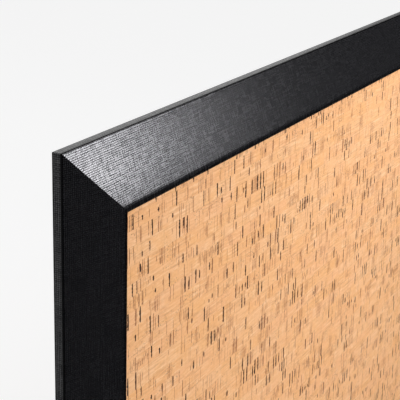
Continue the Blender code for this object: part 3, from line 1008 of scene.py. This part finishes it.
class CORK_BOARD_OT_make_bumpers(Operator):
    """Make the four rubber bumpers, rounded and slightly dished on the wall side"""

    bl_idname = "cork_board.make_bumpers"
    bl_label = "Make Bumpers"

    def execute(self, context):
        fittings = settings().fittings
        material = moulded_rubber(fittings)
        for level in ("top", "bottom"):
            for side in SIDES:
                node = f"bumper_{level}_{side}"
                low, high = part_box(node)
                bumper = self.make(f"{node}_pad", low, high, fittings.bumper_dish)
                give_material(bumper, material)
                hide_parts(node)
                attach(bumper, BODY)
        return {"FINISHED"}

    def make(self, name, low, high, dish):
        """A cone frustum with a rounded shoulder and a foot bead; the dish falls as a parabola."""
        radius = (high.x - low.x) / 2
        tall = high.y - low.y
        face, shoulder, bead = 0.66 * radius, 0.15 * radius, 0.06 * radius
        side_slope = math.pi / 12
        inner = np.linspace(0, face, 9)
        bend = np.linspace(math.pi / 2, side_slope, 9)[1:]
        foot = np.linspace(side_slope, -math.pi / 2, 7)
        radii = [inner, face + shoulder * np.cos(bend), radius - bead + bead * np.cos(foot), [0.0]]
        heights = [
            tall - dish * (1 - (inner / face) ** 2),
            tall - shoulder + shoulder * np.sin(bend),
            bead + bead * np.sin(foot),
            [0.0],
        ]
        centre = ((low.x + high.x) / 2, low.y, (low.z + high.z) / 2)
        place = Matrix.Translation(centre) @ Matrix.Rotation(-math.pi / 2, 4, "X")
        return turned(name, np.concatenate(radii), np.concatenate(heights), place)


class CORK_BOARD_OT_set_stage(Operator):
    """Lay the floor, set the studio light and place the camera"""

    bl_idname = "cork_board.set_stage"
    bl_label = "Set Stage"

    def execute(self, context):
        stage = settings().stage
        self.lay_floor(stage)
        self.set_world(stage)
        self.set_softbox(stage)
        self.place_camera(context.scene, stage)
        context.scene.view_settings.view_transform = "Standard"
        return {"FINISHED"}

    def lay_floor(self, stage):
        """A disc-shaped sheet of paper under the board; glossy faces in front see it dark."""
        low, _ = CAD_BOX
        angle = round_angles(FLOOR_COLUMNS)
        radius = np.array(FLOOR_RINGS)[:, None]
        points = as_points(radius * np.cos(angle), radius * np.sin(angle), low[2] - FLOOR_GAP)
        quads = grid_quads(len(FLOOR_RINGS), FLOOR_COLUMNS)
        middle = np.arange(FLOOR_COLUMNS)[None, :]
        floor = add_piece("floor", points, [quads, middle])
        material, tree, looks = new_material("studio_floor", 0.9, specular=0.0)
        tree.feed(looks["Base Color"], stage.floor)
        tree.feed(looks["Emission Color"], WHITE)
        tree.feed(looks["Emission Strength"], stage.floor_glow)
        y = tree.axes(tree.object_coordinates())[1]
        glossy = tree.add("LightPath").outputs["Is Glossy Ray"]
        mirrored = tree.ease(y, *FLOOR_FADE, stage.dark_side, stage.mirrored_floor)
        dark = tree.add("Emission", {"Color": WHITE, "Strength": mirrored})
        mix = tree.add("MixShader", {0: glossy})
        tree.feed(mix.inputs[1], tree.nodes["Principled BSDF"].outputs[0])
        tree.feed(mix.inputs[2], dark.outputs[0])
        tree.feed(tree.nodes["Material Output"].inputs["Surface"], mix.outputs[0])
        give_material(floor, material)

    def set_world(self, stage):
        """Nearly white for the camera, even fill for matt faces, and for glossy faces bright behind
        the board and dark in front of it."""
        world = bpy.data.worlds.new("studio")
        bpy.context.scene.world = world
        world.use_nodes = True
        tree = Tree(world.node_tree)
        sky = tree.nodes["Background"]
        way = tree.axes(tree.add("TexCoord").outputs["Generated"])
        behind = tree.ease(way[1], *WORLD_FADE, stage.dark_side, stage.bright_side)
        path = tree.add("LightPath").outputs
        strength = stage.fill
        for ray, seen in (("Is Glossy Ray", behind), ("Is Camera Ray", stage.backdrop)):
            ends = {"Value": path[ray], "To Min": strength, "To Max": seen}
            strength = tree.add("MapRange", ends).outputs["Result"]
        tree.feed(sky.inputs["Strength"], strength)
        tree.feed(sky.inputs["Color"], WHITE)

    def set_softbox(self, stage):
        """A softbox to the right in front, low enough to glance along the top moulding, and a broad
        light that shows the back."""
        corner = Vector((CAD_BOX[0][0], 0.0, CAD_BOX[1][2]))
        softbox = self.area("softbox", corner, SOFTBOX_PLACE, SOFTBOX_SIZE, stage.softbox)
        softbox.color = stage.daylight
        rear = (REAR_LIGHT_PLACE, REAR_LIGHT_SIZE, stage.rear_light)
        self.area("rear_light", Vector((0.0, 0.0, 0.0)), *rear)

    def area(self, name, aim, place, size, brightness):
        """A rectangular light of the given radiance, placed round what it is aimed at."""
        around, above, away = math.radians(place[0]), math.radians(place[1]), place[2]
        level = Vector((math.sin(around), -math.cos(around), 0.0))
        way = level * math.cos(above) + Vector((0.0, 0.0, math.sin(above)))
        data = bpy.data.lights.new(name, "AREA")
        data.shape = "RECTANGLE"
        data.size, data.size_y = size
        data.energy = brightness * math.pi * size[0] * size[1]
        light = new_object(name, data)
        light.location = aim + way * away
        light.rotation_euler = way.to_track_quat("Z", "Y").to_euler()
        light.visible_camera = False
        return data

    def place_camera(self, scene, stage):
        """The view from the upper left: forward, right and up from yaw, pitch and roll."""
        low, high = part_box("left_stile")
        corner = Vector((low.x, high.y, high.z))
        aim = corner + Vector((stage.aim_right, 0.0, -stage.aim_down))
        level = Vector((math.sin(stage.yaw), math.cos(stage.yaw), 0.0))
        forward = level * math.cos(stage.pitch) - Vector((0, 0, math.sin(stage.pitch)))
        flat_right = Vector((math.cos(stage.yaw), -math.sin(stage.yaw), 0.0))
        flat_up = flat_right.cross(forward)
        right = math.cos(stage.roll) * flat_right + math.sin(stage.roll) * flat_up
        up = math.cos(stage.roll) * flat_up - math.sin(stage.roll) * flat_right
        data = bpy.data.cameras.new("camera")
        data.lens = stage.lens
        data.sensor_width = 36.0
        data.clip_start = 0.01
        camera = new_object("camera", data)
        turn = Matrix((right, up, -forward)).transposed()
        camera.matrix_world = Matrix.Translation(aim - forward * stage.distance) @ turn.to_4x4()
        scene.camera = camera


class CORK_BOARD_PT_panel(Panel):
    """Sizes, colours and the steps that build the board"""

    bl_idname = "CORK_BOARD_PT_panel"
    bl_label = "Cork Bulletin Board"
    bl_space_type = "VIEW_3D"
    bl_region_type = "UI"
    bl_category = "Cork Board"

    def draw(self, context):
        for operator in STEPS:
            self.layout.operator(operator.bl_idname)
        for group in BoardSettings.__annotations__:
            box = self.layout.box()
            box.label(text=group.title())
            owner = getattr(context.scene.cork_board, group)
            for value in type(owner).__annotations__:
                box.prop(owner, value)


STEPS = (
    CORK_BOARD_OT_wrap_mouldings,
    CORK_BOARD_OT_finish_cork,
    CORK_BOARD_OT_finish_back,
    CORK_BOARD_OT_finish_joinery,
    CORK_BOARD_OT_make_hangers,
    CORK_BOARD_OT_make_bumpers,
    CORK_BOARD_OT_set_stage,
)
GROUPS = (FoilSettings, CorkSettings, BackSettings, FittingSettings, StageSettings)
CLASSES = (*GROUPS, BoardSettings, *STEPS, CORK_BOARD_PT_panel)


def register():
    for cls in CLASSES:
        bpy.utils.register_class(cls)
    bpy.types.Scene.cork_board = PointerProperty(type=BoardSettings)


def unregister():
    del bpy.types.Scene.cork_board
    for cls in reversed(CLASSES):
        bpy.utils.unregister_class(cls)


def main():
    register()
    for operator in STEPS:
        group, name = operator.bl_idname.split(".")
        getattr(getattr(bpy.ops, group), name)()
    bpy.context.view_layer.update()


if __name__ == "__main__":
    main()
